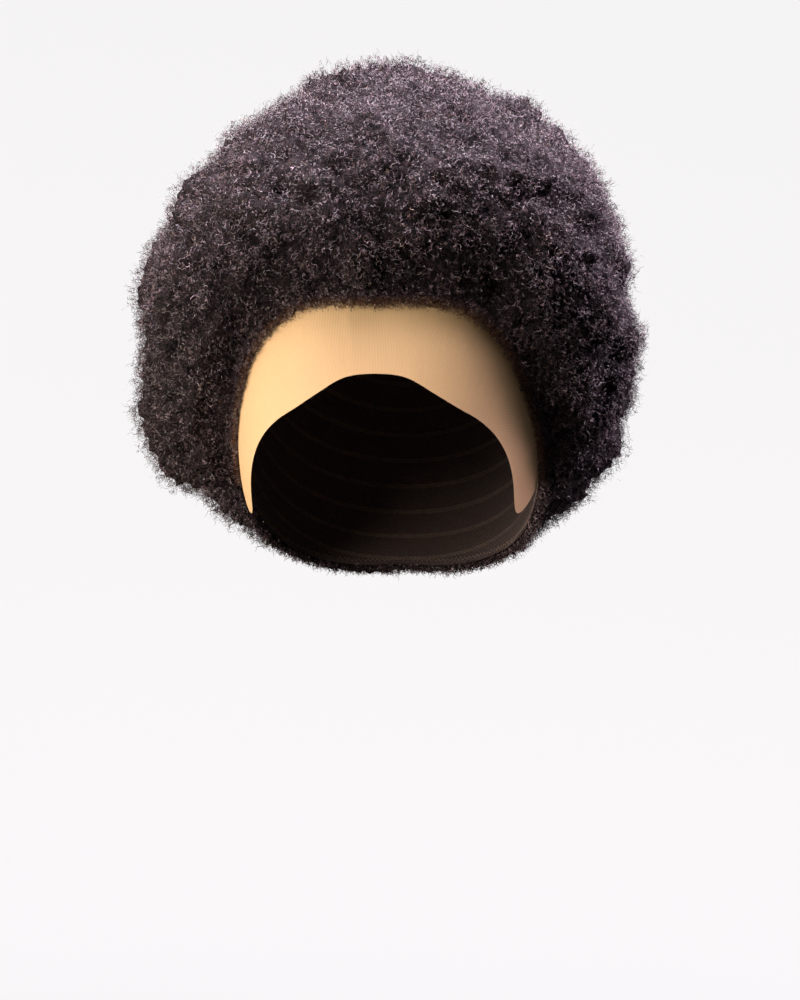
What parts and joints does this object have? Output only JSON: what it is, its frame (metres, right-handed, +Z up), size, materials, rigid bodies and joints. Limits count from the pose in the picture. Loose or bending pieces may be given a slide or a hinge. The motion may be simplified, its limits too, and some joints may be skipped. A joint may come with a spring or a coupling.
{
  "type": "afro wig",
  "caption": "Short, full afro wig: a round mass of tight coily hair on a stretch cap, with a sheer lace front that runs down to a pointed tab at each ear.",
  "frame": {"origin": "inside of the cap at the crown, on the mid plane, where the top of the head sits", "axes": "+Z up with the head upright, -Y forward the way the face looks, +X towards the right as seen from the front"},
  "size_m": [0.2662, 0.2649, 0.2675],
  "materials": {
    "hair": "brown black coily hair, soft sheen",
    "cap_knit": "matt stretch knit",
    "lace": "sheer tan lace net"
  },
  "bodies": {
    "root": {"hair": "hair", "wig_cap": "cap_knit", "lace_front": "lace"}
  },
  "joints": []
}
